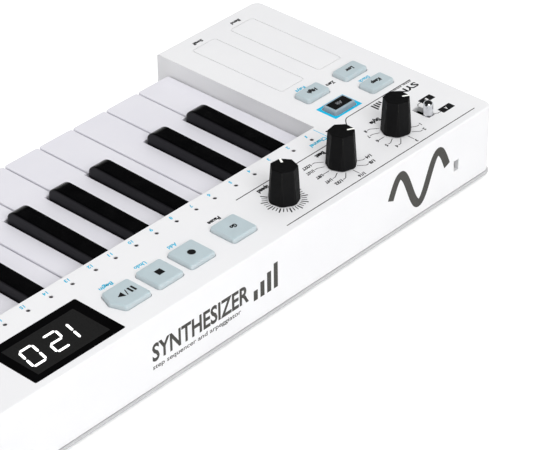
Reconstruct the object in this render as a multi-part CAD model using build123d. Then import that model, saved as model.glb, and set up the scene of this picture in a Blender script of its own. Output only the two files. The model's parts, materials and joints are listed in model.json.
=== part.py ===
"""Slim 37-key synthesizer: one STEP file per separate piece, in millimetres.

Frame: the origin is the centre of the footprint on the table, +X runs to the
player's right, +Y away from the player towards the back, +Z up.
"""
import math
import os

from build123d import *

os.makedirs("parts", exist_ok=True)

# Case
CASE_LENGTH = 555.0
CASE_DEPTH = 148.4
PANEL_TOP = 38.0
WALL = 2.5
CORNER_RADIUS = 4.5
EDGE_RADIUS = 0.9
FOOT_HEIGHT = 1.7
PLATE_THICKNESS = 1.5
PLATE_OVERHANG = 0.6
SEAM = 0.3
PLATE_TOP = FOOT_HEIGHT + PLATE_THICKNESS
CASE_BOTTOM = PLATE_TOP + SEAM
PLATE_EDGE = 0.5
PANEL_UNDER = PANEL_TOP - WALL
# How far a cutting body runs past a face, and how far joined bodies overlap
OVERRUN = 1.0
OVERLAP = 0.5

# Keyboard
KEY_PITCH = 21.4
KEY_GAP = 0.9
OCTAVE = 7 * KEY_PITCH
OCTAVES = 3
WHITE_COUNT = 7 * OCTAVES + 1
KEYS_LEFT = -207.2
KEYS_WIDTH = WHITE_COUNT * KEY_PITCH
CHEEK_CLEARANCE = 0.15
WELL_LEFT = KEYS_LEFT - CHEEK_CLEARANCE
WELL_RIGHT = KEYS_LEFT + KEYS_WIDTH + CHEEK_CLEARANCE
WELL_BACK = 25.7
RAIL_TOP = 18.5
RAIL_BACK = -67.5
WHITE_TOP = 29.3
WHITE_FRONT = -66.8
WHITE_HEIGHT = 12.3
WHITE_SKIN = 2.1
WHITE_WALL = 1.7
WHITE_CORNER = 1.3
WHITE_EDGE = 0.6
BLACK_WIDTH = 9.5
BLACK_GAP = 0.5
BLACK_FRONT = -33.2
BLACK_RISE_FRONT = 6.4
BLACK_RISE_BACK = 5.3
BLACK_CORNER = 2.4
BLACK_TAPER = 2.0
BLACK_EDGE = 1.0
BLACK_NOSE_WALL = 4.5
# Nose of the black keys: distance behind the front and height above the white keys
NOSE_START = (0.0, 0.5)
NOSE_MIDDLE = (1.9, 4.4)
NOSE_END = (6.4, BLACK_RISE_FRONT)
BLACK_CENTRES = {"cs": 19.4, "ds": 45.1, "fs": 82.3, "gs": 107.0, "as": 131.9}
WHITE_NAMES = ["c", "d", "e", "f", "g", "a", "b"]
NOTCH_FRONT = BLACK_FRONT - 1.0
KEY_STEP = 29.4
TAIL_BOTTOM = 15.0
TAIL_ROOT = 4.0
HOLLOW_END = KEY_STEP - 5.0
BLACK_HOLLOW_TOP = WHITE_TOP + 2.4
PIVOT_Y = 42.0
PIVOT_Z = 18.5
KNUCKLE_RADIUS = 4.6
KNUCKLE_WIDTH = 8.0
ROD_RADIUS = 1.5
ROD_CLEARANCE = 0.08
LIP_BOTTOM = WHITE_TOP + 0.7
LIP_THICKNESS = 2.5
BLACK_LIP_GAP = 0.5

# Control panel
CONTROL_Y = 55.2
KNOB_BASE_RADIUS = 7.15
KNOB_BASE_CORNER = 7.55
KNOB_TOP_RADIUS = 6.3
KNOB_SIDES = 7
KNOB_TOP_CORNER = 6.2
KNOB_GAP = 0.4
KNOB_RISE = 17.4
KNOB_EDGE = 0.45
SHAFT_DEPTH = 9.0
POINTER_WIDTH = 1.1
POINTER_INNER = 2.6
POINTER_DEPTH = 0.5
SHAFT_RADIUS = 3.0
SHAFT_CLEARANCE = 0.6
KNOBS = {
    "mode_knob": -230.1,
    "division_knob": -192.2,
    "rate_knob": -154.3,
    "parameter_knob_1": 54.8,
    "parameter_knob_2": 104.8,
    "parameter_knob_3": 154.8,
    "parameter_knob_4": 204.8,
}
FIRST_STEP_ANGLE = 150.0
LOWEST_RATE_ANGLE = 240.0
MIDDLE_ANGLE = 90.0
REST_ANGLES = {
    "mode_knob": FIRST_STEP_ANGLE,
    "division_knob": FIRST_STEP_ANGLE,
    "rate_knob": LOWEST_RATE_ANGLE,
}
BUTTON_RISE = 2.1
BUTTON_CLEARANCE = 0.25
BUTTON_FLANGE = 1.2
FLANGE_Z = (PANEL_UNDER - 1.4, PANEL_UNDER - 0.2)
CONTACT_GAP = 1.5
BUTTON_CORNER = 1.5
BUTTON_EDGE = 0.85
BUTTON_TAPER = 7.0
SHIFT_TAPER = 14.0
SMALL_BUTTON = (15.5, 9.5)
SHIFT_BUTTON = (14.6, 9.0)
LARGE_BUTTON = (15.0, 15.0)
SMALL_BUTTONS = {
    "hold_button": (-254.9, 22.5),
    "shift_button": (-228.45, 22.5),
    "octave_down_button": (-254.9, 6.1),
    "octave_up_button": (-228.4, 6.1),
}
LARGE_BUTTONS = {
    "tap_button": (-122.15, 55.1),
    "record_button": (-96.2, 55.1),
    "stop_button": (-76.95, 55.1),
    "play_button": (-57.7, 55.1),
}
PLAY_POINT = 2.8
LEVER_X = -250.4
LEVER_Y = 57.3
LEVER_TRAVEL = 5.3
LEVER_RADIUS = 2.35
LEVER_RISE = 6.8
LEVER_DOME = 1.5
SLOT_WIDTH = 5.0
SLOT_CORNER = 1.0
DISPLAY_X = (-42.2, 7.8)
DISPLAY_Y = (40.2, 70.0)
DISPLAY_THICKNESS = 1.2
DISPLAY_LEDGE = 5.5
DISPLAY_CORNER = 0.8
DISPLAY_GAP = 0.2
STRIP_SIZE = (16.3, 58.0)
STRIP_GROOVE = 0.25
STRIP_LINE = 0.4
STRIP_CORNER = 1.8
STRIP_CENTRES = [(-255.0, -35.0), (-228.5, -35.0)]
LIGHT_Y = 32.0
LIGHT_RADIUS = 0.87
LIGHT_SUNK = 0.3
LIGHT_CLEARANCE = 0.1
LIGHT_CENTRES = [8.5, 20.8, 33.7, 46.6, 58.7, 72.3, 83.9, 96.2, 108.5, 120.8, 133.1, 144.8]

# Inside
BOARD_TOP = 28.6
BOARD_THICKNESS = 1.6
BOARD_BACK = 63.0
BOARD_FRONT = 29.4
BOARD_EDGE_GAP = 1.0
BOARD_WING_FRONT = -2.0
BOARD_POSTS = [-262.0, -172.0, 30.0, 129.8, 229.8]
BOARD_POST_RADIUS = 2.4
BOARD_POST_Y = 38.5
POT_HALF = 5.5
CONTACT_RADIUS = 3.0
POST_RADIUS = 3.4
SCREW_RADIUS = 1.5
SCREW_LENGTH = 9.0
SCREW_HEAD_RADIUS = 2.9
SCREW_HEAD_HEIGHT = 0.8
SCREW_DRIVE_RADIUS = 1.1
SCREW_CLEARANCE = 0.2
REAR_SCREW_Y = 68.2
FRONT_SCREW_Y = -66.0
SCREWS = [(-270.0, REAR_SCREW_Y), (-140.0, REAR_SCREW_Y), (10.0, REAR_SCREW_Y),
          (131.0, REAR_SCREW_Y), (270.6, REAR_SCREW_Y), (-270.0, FRONT_SCREW_Y),
          (-215.0, FRONT_SCREW_Y), (270.6, FRONT_SCREW_Y)]
FEET = [(-255.0, 56.0), (255.0, 56.0), (-255.0, -56.0), (255.0, -56.0)]
FOOT_RADIUS = 8.0
FOOT_CHAMFER = 0.4
FRAME_Y = (-60.0, 52.0)
FRAME_FLOOR = (PLATE_TOP, PLATE_TOP + 2.0)
FRAME_END_GAP = 1.0
FRAME_BAYS = 8
FRAME_WINDOW = (44.0, 76.0)
FRAME_WINDOW_CORNER = 3.0
POST_Y = (PIVOT_Y - 4.0, PIVOT_Y + 4.0)
POST_TOP = PIVOT_Z + 3.5
SHAFT_BOTTOM = BOARD_TOP + 1.1
CARRIAGE_BOTTOM = BOARD_TOP + 3.5
CONTACT_HEIGHT = 0.3
STOP_BAR_Y = (-58.0, -52.0)
FELT_Z = (9.4, 10.5)
POST_HALF = 1.7
END_POST_HALF = 0.9
JACK_Z = 18.0
JACK_BACK = 56.0
JACK_HALF_HEIGHT = 7.5
MINI_HALF = 5.0
LARGE_HALF = 8.0
LARGE_DEPTH = 20.0
DIN_HALF = 9.5
DIN_PINS = 5
DIN_PIN_CIRCLE = 4.4
SWITCH_HALF = 8.0
DC_HALF = 5.5
# How much wider than its socket each round opening in the back wall is, as a radius
MINI_COLLAR = 2.0
LARGE_COLLAR = 2.6
DIN_COLLAR = 0.6
DC_COLLAR = 2.2
JACK_FACE = CASE_DEPTH / 2 - WALL - 0.2
MINI_JACKS = [62.0, 76.0, 90.0, 106.0, 120.0]
MINI_BORE = 1.8
LARGE_JACK = 42.0
LARGE_BORE = 3.225
DIN_JACKS = [150.0, 174.0]
DIN_RADIUS = 7.6
USB_JACK = 198.0
USB_SIZE = (12.0, 10.8)
POWER_SWITCH = 218.0
SWITCH_SIZE = (12.0, 7.0)
DC_JACK = 240.0
DC_BORE = 2.75
LOCK_X = -251.0
LOCK_Z = 17.0
LOCK_SIZE = (3.4, 5.6)


def block(x, y, z):
    """A box from its low and high limits on each axis."""
    size = (x[1] - x[0], y[1] - y[0], z[1] - z[0])
    middle = ((x[0] + x[1]) / 2, (y[0] + y[1]) / 2, (z[0] + z[1]) / 2)
    return Pos(*middle) * Box(*size)


def rod_z(x, y, radius, z):
    """An upright cylinder between two heights."""
    return Pos(x, y, (z[0] + z[1]) / 2) * Cylinder(radius, z[1] - z[0])


def rod_x(x, y, z, radius):
    """A cylinder along X between two x values."""
    return Pos((x[0] + x[1]) / 2, y, z) * Rot(0, 90, 0) * Cylinder(radius, x[1] - x[0])


def rod_y(x, y, z, radius):
    """A cylinder along Y between two y values."""
    return Pos(x, (y[0] + y[1]) / 2, z) * Rot(90, 0, 0) * Cylinder(radius, y[1] - y[0])


def slab(x, y, size, radius, z):
    """A plate with rounded plan corners between two heights."""
    plan = RectangleRounded(size[0], size[1], radius)
    return Pos(x, y, z[0]) * extrude(plan, z[1] - z[0])


def save(node, *solids):
    """Write one node; several solids stay separate inside it."""
    shape = solids[0] if len(solids) == 1 else Compound(children=list(solids))
    shape.label = node
    export_step(shape, f"parts/{node}.step")


def single(shape):
    """The one solid that a boolean result holds."""
    return shape.solids()[0]


def edges_at(shape, z):
    """The edges that lie wholly at one height."""
    flat = shape.edges().filter_by(Plane.XY)
    return flat.filter_by_position(Axis.Z, z - 0.001, z + 0.001)


def black_key_centres():
    """Name and centre x of every black key."""
    return [(f"{name}{octave + 1}", KEYS_LEFT + octave * OCTAVE + centre)
            for octave in range(OCTAVES) for name, centre in BLACK_CENTRES.items()]


def light_centres():
    """One light above each key."""
    places = [KEYS_LEFT + octave * OCTAVE + x for octave in range(OCTAVES) for x in LIGHT_CENTRES]
    return places + [KEYS_LEFT + OCTAVES * OCTAVE + LIGHT_CENTRES[0]]


def button_plan(size, grow=0.0, point=0.0):
    """Plan outline of a button; a point turns its right side into an arrow."""
    right = size[0] / 2 + grow
    back = size[1] / 2 + grow
    if not point:
        return RectangleRounded(2 * right, 2 * back, BUTTON_CORNER + grow)
    corners = [(-right, -back), (right, -back), (right + point, 0), (right, back), (-right, back)]
    outline = Polygon(*corners, align=None)
    return fillet(outline.vertices(), BUTTON_CORNER + grow)


def button_rows():
    """Name, centre, size and point of every button."""
    rows = []
    for name, place in SMALL_BUTTONS.items():
        rows.append((name, place, SHIFT_BUTTON if name == "shift_button" else SMALL_BUTTON, 0.0))
    for name, place in LARGE_BUTTONS.items():
        rows.append((name, place, LARGE_BUTTON, PLAY_POINT if name == "play_button" else 0.0))
    return rows


def case_shell():
    """Outer block, hollowed from below, with the keyboard well and its walls."""
    shell = slab(0, 0, (CASE_LENGTH, CASE_DEPTH), CORNER_RADIUS, (CASE_BOTTOM, PANEL_TOP))
    shell = fillet(edges_at(shell, PANEL_TOP), EDGE_RADIUS)
    inner = (CASE_LENGTH - 2 * WALL, CASE_DEPTH - 2 * WALL)
    shell -= slab(0, 0, inner, CORNER_RADIUS - WALL, (CASE_BOTTOM - OVERRUN, PANEL_UNDER))
    front = -CASE_DEPTH / 2
    for wall in ((WELL_LEFT - WALL, WELL_LEFT), (WELL_RIGHT, WELL_RIGHT + WALL)):
        shell += block(wall, (front + WALL - OVERLAP, WELL_BACK + LIP_THICKNESS),
                       (CASE_BOTTOM, PANEL_UNDER + OVERLAP))
    span = (WELL_LEFT - OVERLAP, WELL_RIGHT + OVERLAP)
    shell += block(span, (front + OVERLAP, RAIL_BACK), (CASE_BOTTOM, RAIL_TOP))
    lip = block(span, (WELL_BACK, WELL_BACK + LIP_THICKNESS), (LIP_BOTTOM, PANEL_UNDER + OVERLAP))
    half = BLACK_WIDTH / 2 + BLACK_LIP_GAP
    notch_z = (LIP_BOTTOM - OVERRUN, PANEL_UNDER)
    for _, x in black_key_centres():
        lip -= block((x - half, x + half), (WELL_BACK - OVERRUN, KEY_STEP), notch_z)
    shell += lip
    shell -= block((WELL_LEFT, WELL_RIGHT), (front - OVERRUN, WELL_BACK), (RAIL_TOP, PANEL_TOP + OVERRUN))
    return shell


def panel_openings():
    """Everything cut through or into the control panel."""
    through = (PANEL_UNDER - OVERRUN, PANEL_TOP + OVERRUN)
    tools = [rod_z(x, CONTROL_Y, SHAFT_RADIUS + SHAFT_CLEARANCE, through) for x in KNOBS.values()]
    tools += [rod_z(x, LIGHT_Y, LIGHT_RADIUS + LIGHT_CLEARANCE, through) for x in light_centres()]
    for _, place, size, point in button_rows():
        plan = button_plan(size, BUTTON_CLEARANCE, point)
        tools.append(Pos(place[0], place[1], through[0]) * extrude(plan, through[1] - through[0]))
    slot_y = LEVER_Y - LEVER_TRAVEL / 2
    slot_length = LEVER_TRAVEL + SLOT_WIDTH
    tools.append(slab(LEVER_X, slot_y, (SLOT_WIDTH, slot_length), SLOT_CORNER, through))
    middle = (sum(DISPLAY_X) / 2, sum(DISPLAY_Y) / 2)
    size = (DISPLAY_X[1] - DISPLAY_X[0], DISPLAY_Y[1] - DISPLAY_Y[0])
    seat = PANEL_TOP - DISPLAY_THICKNESS
    tools.append(slab(*middle, size, DISPLAY_CORNER, (seat, PANEL_TOP + OVERRUN)))
    view = (size[0] - 2 * DISPLAY_LEDGE, size[1] - 2 * DISPLAY_LEDGE)
    tools.append(slab(*middle, view, DISPLAY_CORNER, through))
    inside = [length - 2 * STRIP_LINE for length in STRIP_SIZE]
    ring = RectangleRounded(*STRIP_SIZE, STRIP_CORNER) - RectangleRounded(*inside, STRIP_CORNER - STRIP_LINE)
    for x, y in STRIP_CENTRES:
        tools.append(Pos(x, y, PANEL_TOP - STRIP_GROOVE) * extrude(ring, OVERRUN))
    return tools


def back_openings():
    """Connector openings and the lock slot in the back wall."""
    through = (CASE_DEPTH / 2 - WALL - OVERRUN, CASE_DEPTH / 2 + OVERRUN)
    tools = [rod_y(x, through, JACK_Z, MINI_BORE + MINI_COLLAR) for x in MINI_JACKS]
    tools.append(rod_y(LARGE_JACK, through, JACK_Z, LARGE_BORE + LARGE_COLLAR))
    tools += [rod_y(x, through, JACK_Z, DIN_RADIUS + DIN_COLLAR) for x in DIN_JACKS]
    tools.append(rod_y(DC_JACK, through, JACK_Z, DC_BORE + DC_COLLAR))
    for x, size in ((USB_JACK, USB_SIZE), (POWER_SWITCH, SWITCH_SIZE), (LOCK_X, LOCK_SIZE)):
        z = LOCK_Z if x == LOCK_X else JACK_Z
        tools.append(block((x - size[0] / 2, x + size[0] / 2), through, (z - size[1] / 2, z + size[1] / 2)))
    return tools


def top_case():
    """White upper shell with panel, cheeks, back wall, front rail and screw posts."""
    case = case_shell()
    for x, y in SCREWS:
        case += rod_z(x, y, POST_RADIUS, (PLATE_TOP, PANEL_UNDER + OVERLAP))
    for x in BOARD_POSTS:
        case += rod_z(x, BOARD_POST_Y, BOARD_POST_RADIUS, (BOARD_TOP, PANEL_UNDER + OVERLAP))
    case -= Compound(children=panel_openings())
    case -= Compound(children=back_openings())
    for x, y in SCREWS:
        case -= rod_z(x, y, SCREW_RADIUS, (PLATE_TOP - OVERRUN, PLATE_TOP + SCREW_LENGTH))
    save("top_case", single(case))


def bottom_plate():
    """Steel base plate, slightly wider than the case, with screw holes."""
    size = (CASE_LENGTH + 2 * PLATE_OVERHANG, CASE_DEPTH + 2 * PLATE_OVERHANG)
    plate = slab(0, 0, size, CORNER_RADIUS + PLATE_OVERHANG, (FOOT_HEIGHT, PLATE_TOP))
    plate = fillet(edges_at(plate, PLATE_TOP), PLATE_EDGE)
    for x, y in SCREWS:
        plate -= rod_z(x, y, SCREW_RADIUS + SCREW_CLEARANCE, (0, PLATE_TOP + OVERRUN))
    save("bottom_plate", single(plate))


def feet_and_screws():
    """Rubber feet under the plate and the screws that hold it to the posts."""
    pieces = []
    for x, y in FEET:
        foot = rod_z(x, y, FOOT_RADIUS, (0, FOOT_HEIGHT))
        pieces.append(single(chamfer(edges_at(foot, 0), FOOT_CHAMFER)))
    head_z = (FOOT_HEIGHT - SCREW_HEAD_HEIGHT, FOOT_HEIGHT)
    for x, y in SCREWS:
        head = rod_z(x, y, SCREW_HEAD_RADIUS, head_z)
        shank = rod_z(x, y, SCREW_RADIUS, (sum(head_z) / 2, SCREW_LENGTH))
        drive = rod_z(x, y, SCREW_DRIVE_RADIUS, (0, sum(head_z) / 2))
        pieces.append(single(head + shank - drive))
    save("feet_and_screws", *pieces)


def white_key_span(index):
    """Left and right side of a white key's wide front part."""
    left = KEYS_LEFT + index * KEY_PITCH
    return left + KEY_GAP / 2, left + KEY_PITCH - KEY_GAP / 2


def white_stem_span(index):
    """Left and right side of the narrow part that runs between the black keys."""
    left, right = white_key_span(index)
    reach = BLACK_WIDTH / 2 + BLACK_GAP
    for _, x in black_key_centres():
        if left - BLACK_WIDTH < x < (left + right) / 2:
            left = max(left, x + reach)
        if (left + right) / 2 < x < right + BLACK_WIDTH:
            right = min(right, x - reach)
    return left, right


def key_tail(middle):
    """Narrow tail with the knuckle that turns on the hinge rod."""
    x = (middle - KNUCKLE_WIDTH / 2, middle + KNUCKLE_WIDTH / 2)
    tail = block(x, (KEY_STEP - TAIL_ROOT, PIVOT_Y), (TAIL_BOTTOM, PIVOT_Z + KNUCKLE_RADIUS))
    return tail + rod_x(x, PIVOT_Y, PIVOT_Z, KNUCKLE_RADIUS)


def rod_bore(middle):
    """The hinge-rod bore through a knuckle."""
    x = (middle - KNUCKLE_WIDTH, middle + KNUCKLE_WIDTH)
    return rod_x(x, PIVOT_Y, PIVOT_Z, ROD_RADIUS + ROD_CLEARANCE)


def white_key(index):
    """Hollow white lever: wide front, narrow stem, tail and knuckle."""
    left, right = white_key_span(index)
    stem = white_stem_span(index)
    bottom = WHITE_TOP - WHITE_HEIGHT
    key = block((left, right), (WHITE_FRONT, NOTCH_FRONT), (bottom, WHITE_TOP))
    front_edges = key.edges().filter_by(Axis.Z).group_by(Axis.Y)[0]
    key = fillet(front_edges, WHITE_CORNER)
    key += block(stem, (NOTCH_FRONT - WHITE_WALL, KEY_STEP), (bottom, WHITE_TOP))
    key = fillet(edges_at(key, WHITE_TOP), WHITE_EDGE)
    under = (bottom - OVERRUN, WHITE_TOP - WHITE_SKIN)
    front = (WHITE_FRONT + WHITE_WALL, NOTCH_FRONT - WHITE_WALL)
    key -= block((left + WHITE_WALL, right - WHITE_WALL), front, under)
    key -= block((stem[0] + WHITE_WALL, stem[1] - WHITE_WALL), (NOTCH_FRONT, HOLLOW_END), under)
    middle = sum(stem) / 2
    key = key + key_tail(middle) - rod_bore(middle)
    octave, note = divmod(index, 7)
    save(f"key_{WHITE_NAMES[note]}{octave + 1}", single(key))


def black_plan(x):
    """Plan of a black key with its two front corners rounded."""
    depth = KEY_STEP - BLACK_FRONT
    plan = Pos(x, BLACK_FRONT + depth / 2) * Rectangle(BLACK_WIDTH, depth)
    return fillet(plan.vertices().group_by(Axis.Y)[0], BLACK_CORNER)


def black_profile():
    """Side view of a black key: convex nose, gently falling top, stepped tail."""
    low = WHITE_TOP - WHITE_HEIGHT
    points = [(BLACK_FRONT + back, WHITE_TOP + rise) for back, rise in (NOSE_START, NOSE_MIDDLE, NOSE_END)]
    start, middle, nose = points
    rear = (KEY_STEP, WHITE_TOP + BLACK_RISE_BACK)
    with BuildSketch(Plane.YZ) as sketch:
        with BuildLine():
            Line((BLACK_FRONT, low), start)
            ThreePointArc(start, middle, nose)
            Line(nose, rear)
            Line(rear, (KEY_STEP, low))
            Line((KEY_STEP, low), (BLACK_FRONT, low))
        make_face()
    return sketch.sketch


def black_key(name, x):
    """Hollow black lever with rounded front corners and slightly tapered sides."""
    low = WHITE_TOP - WHITE_HEIGHT
    body = Pos(0, 0, low) * extrude(black_plan(x), WHITE_HEIGHT)
    body += Pos(0, 0, WHITE_TOP) * extrude(black_plan(x), BLACK_RISE_FRONT + OVERRUN, taper=BLACK_TAPER)
    side = Pos(x - BLACK_WIDTH, 0, 0) * extrude(black_profile(), 2 * BLACK_WIDTH, dir=(1, 0, 0))
    key = body & side
    crown_edges = [edge for edge in key.edges() if edge.center().Z > WHITE_TOP + BLACK_RISE_BACK / 2
                   and abs(edge.center().X - x) > BLACK_WIDTH / 3 and edge.center().Y < HOLLOW_END]
    key = fillet(crown_edges, BLACK_EDGE)
    half = BLACK_WIDTH / 2 - WHITE_WALL
    hollow_y = (BLACK_FRONT + BLACK_NOSE_WALL, HOLLOW_END)
    key -= block((x - half, x + half), hollow_y, (low - OVERRUN, BLACK_HOLLOW_TOP))
    key = key + key_tail(x) - rod_bore(x)
    save(f"key_{name}", single(key))


def key_frame():
    """Chassis plate with hinge-rod posts, the rod, and the felt that stops the keys."""
    x = (KEYS_LEFT + FRAME_END_GAP, KEYS_LEFT + KEYS_WIDTH - FRAME_END_GAP)
    bay = (x[1] - x[0]) / FRAME_BAYS
    frame = block(x, FRAME_Y, FRAME_FLOOR)
    for place in range(FRAME_BAYS):
        window = (FRAME_FLOOR[0] - OVERRUN, FRAME_FLOOR[1] + OVERRUN)
        frame -= slab(x[0] + (place + 0.5) * bay, 0, FRAME_WINDOW, FRAME_WINDOW_CORNER, window)
    frame += block(x, STOP_BAR_Y, (FRAME_FLOOR[1], FELT_Z[0]))
    ends = (KEYS_LEFT + 1.4, KEYS_LEFT + KEYS_WIDTH - 2.6)
    posts = [ends[0], ends[1], KEYS_LEFT + OCTAVES * OCTAVE + 0.4]
    for octave in range(OCTAVES):
        posts.append(KEYS_LEFT + octave * OCTAVE + 3 * KEY_PITCH)
        if octave:
            posts.append(KEYS_LEFT + octave * OCTAVE + 0.4)
    for centre in posts:
        half = END_POST_HALF if centre == ends[0] else POST_HALF
        frame += block((centre - half, centre + half), POST_Y, (FRAME_FLOOR[1], POST_TOP))
    frame -= rod_x((x[0] - OVERRUN, x[1] + OVERRUN), PIVOT_Y, PIVOT_Z, ROD_RADIUS)
    rod = rod_x(x, PIVOT_Y, PIVOT_Z, ROD_RADIUS)
    strip = block(x, STOP_BAR_Y, FELT_Z)
    save("key_frame", single(frame), rod, strip)


def circuit_board():
    """Board with control bodies, button contacts, lights and the display module."""
    z = (BOARD_TOP - BOARD_THICKNESS, BOARD_TOP)
    inner = CASE_LENGTH / 2 - WALL - BOARD_EDGE_GAP
    board = block((-inner, inner), (BOARD_FRONT, BOARD_BACK), z)
    board += block((-inner, WELL_LEFT - WALL - BOARD_EDGE_GAP), (BOARD_WING_FRONT, BOARD_FRONT + OVERLAP), z)
    pieces = [single(board)]
    pot = (BOARD_TOP, PANEL_UNDER - 0.5)
    shaft_hole = (SHAFT_BOTTOM - 0.1, pot[1] + OVERRUN)
    for x in KNOBS.values():
        body = block((x - POT_HALF, x + POT_HALF), (CONTROL_Y - POT_HALF, CONTROL_Y + POT_HALF), pot)
        pieces.append(single(body - rod_z(x, CONTROL_Y, SHAFT_RADIUS + 0.05, shaft_hole)))
    slot_y = LEVER_Y - LEVER_TRAVEL / 2
    switch_z = (BOARD_TOP, CARRIAGE_BOTTOM - 0.1)
    pieces.append(block((LEVER_X - 5, LEVER_X + 5), (slot_y - 8, slot_y + 8), switch_z))
    for _, place, _, _ in button_rows():
        pieces.append(rod_z(*contact_place(place), CONTACT_RADIUS, (BOARD_TOP, BOARD_TOP + CONTACT_HEIGHT)))
    for x in light_centres():
        pieces.append(rod_z(x, LIGHT_Y, LIGHT_RADIUS, (BOARD_TOP, PANEL_TOP - LIGHT_SUNK)))
    view = DISPLAY_LEDGE + OVERRUN
    view_x = (DISPLAY_X[0] + view, DISPLAY_X[1] - view)
    view_y = (DISPLAY_Y[0] + view, BOARD_BACK - OVERLAP)
    pieces.append(block(view_x, view_y, (BOARD_TOP, PANEL_UNDER)))
    save("circuit_board", *pieces)


def display_window():
    """Black window set flush into its seat in the panel."""
    middle = (sum(DISPLAY_X) / 2, sum(DISPLAY_Y) / 2)
    size = (DISPLAY_X[1] - DISPLAY_X[0] - DISPLAY_GAP, DISPLAY_Y[1] - DISPLAY_Y[0] - DISPLAY_GAP)
    corner = DISPLAY_CORNER - DISPLAY_GAP / 2
    save("display_window", single(slab(*middle, size, corner, (PANEL_TOP - DISPLAY_THICKNESS, PANEL_TOP))))


def knob_outline(radius, angle):
    """Regular outline with one corner at the pointer's angle."""
    turns = [math.radians(angle + 360.0 * side / KNOB_SIDES) for side in range(KNOB_SIDES)]
    return Polygon(*[(radius * math.cos(turn), radius * math.sin(turn)) for turn in turns], align=None)


def knob(node, x):
    """Cap that turns from a round base into a seven-sided top, and its shaft."""
    base = PANEL_TOP + KNOB_GAP
    height = KNOB_RISE - KNOB_GAP
    cone = Pos(x, CONTROL_Y, base + height / 2) * Cone(KNOB_BASE_RADIUS, KNOB_TOP_RADIUS, height)
    angle = REST_ANGLES.get(node, MIDDLE_ANGLE)
    low = Pos(x, CONTROL_Y, base) * knob_outline(KNOB_BASE_CORNER, angle)
    high = Pos(x, CONTROL_Y, base + height) * knob_outline(KNOB_TOP_CORNER, angle)
    cap = cone & loft([low.face(), high.face()])
    top = base + height
    cap = fillet(edges_at(cap, top), KNOB_EDGE)
    shaft_z = (SHAFT_BOTTOM, base + SHAFT_DEPTH)
    cap -= rod_z(x, CONTROL_Y, SHAFT_RADIUS, (base - OVERRUN, shaft_z[1]))
    slot = block((POINTER_INNER, KNOB_BASE_RADIUS), (-POINTER_WIDTH / 2, POINTER_WIDTH / 2),
                 (top - POINTER_DEPTH, top + OVERRUN))
    cap -= Pos(x, CONTROL_Y, 0) * Rot(0, 0, angle) * slot
    save(node, single(cap), rod_z(x, CONTROL_Y, SHAFT_RADIUS, shaft_z))


def contact_place(place):
    """Where a button's contact sits: under its centre, but kept on the board."""
    return place[0], min(place[1], BOARD_BACK - CONTACT_RADIUS - 1.0)


def button(node, place, size, point):
    """Rubber cap with a soft top edge, a flange under the panel and a contact stub."""
    top = PANEL_TOP + BUTTON_RISE
    plan = button_plan(size, 0.0, point)
    skirt = FLANGE_Z[1] - OVERLAP
    cap = Pos(place[0], place[1], skirt) * extrude(plan, PANEL_TOP - skirt)
    slope = SHIFT_TAPER if node == "shift_button" else BUTTON_TAPER
    upper = Pos(place[0], place[1], PANEL_TOP) * extrude(plan, BUTTON_RISE, taper=slope)
    upper = fillet(edges_at(upper, top), BUTTON_EDGE)
    body = upper + cap
    body += slab(*place, [length + 2 * BUTTON_FLANGE for length in size], BUTTON_CORNER, FLANGE_Z)
    body += rod_z(*contact_place(place), CONTACT_RADIUS, (BOARD_TOP + CONTACT_GAP, FLANGE_Z[0] + OVERLAP))
    save(node, single(body))


def sequence_lever():
    """Polished slide lever with a domed end, on its carriage under the panel."""
    tip = PANEL_TOP + LEVER_RISE
    pin = rod_z(LEVER_X, LEVER_Y, LEVER_RADIUS, (CARRIAGE_BOTTOM, tip))
    pin = fillet(edges_at(pin, tip), LEVER_DOME)
    carriage_z = (CARRIAGE_BOTTOM, PANEL_UNDER - 0.3)
    carriage = block((LEVER_X - 4, LEVER_X + 4), (LEVER_Y - 3, LEVER_Y + 3), carriage_z)
    save("sequence_lever", single(pin + carriage))


def mini_jack(x, body_z):
    """3.5 mm socket block."""
    body = block((x - MINI_HALF, x + MINI_HALF), (JACK_BACK, JACK_FACE), body_z)
    return single(body - rod_y(x, (JACK_BACK + 1.5, JACK_FACE + OVERRUN), JACK_Z, MINI_BORE))


def pedal_jack(body_z):
    """6.35 mm socket block."""
    back = JACK_FACE - LARGE_DEPTH
    body = block((LARGE_JACK - LARGE_HALF, LARGE_JACK + LARGE_HALF), (back, JACK_FACE), body_z)
    return single(body - rod_y(LARGE_JACK, (back + 2, JACK_FACE + OVERRUN), JACK_Z, LARGE_BORE))


def din_socket(x, body_z):
    """Round five-pin socket: a ring-shaped recess round a core with five holes."""
    body = block((x - DIN_HALF, x + DIN_HALF), (JACK_BACK, JACK_FACE), (JACK_Z - DIN_HALF, body_z[1]))
    ring = rod_y(x, (JACK_FACE - 8, JACK_FACE + OVERRUN), JACK_Z, DIN_RADIUS)
    core = rod_y(x, (JACK_FACE - 9, JACK_FACE - 0.6), JACK_Z, DIN_RADIUS - 1.1)
    socket = body - (ring - core)
    for pin in range(DIN_PINS):
        angle = math.radians(180 + 180 * pin / (DIN_PINS - 1))
        hole = (x + DIN_PIN_CIRCLE * math.cos(angle), JACK_Z + DIN_PIN_CIRCLE * math.sin(angle))
        socket -= rod_y(hole[0], (JACK_FACE - 7, JACK_FACE + OVERRUN), hole[1], 0.8)
    return single(socket)


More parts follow.
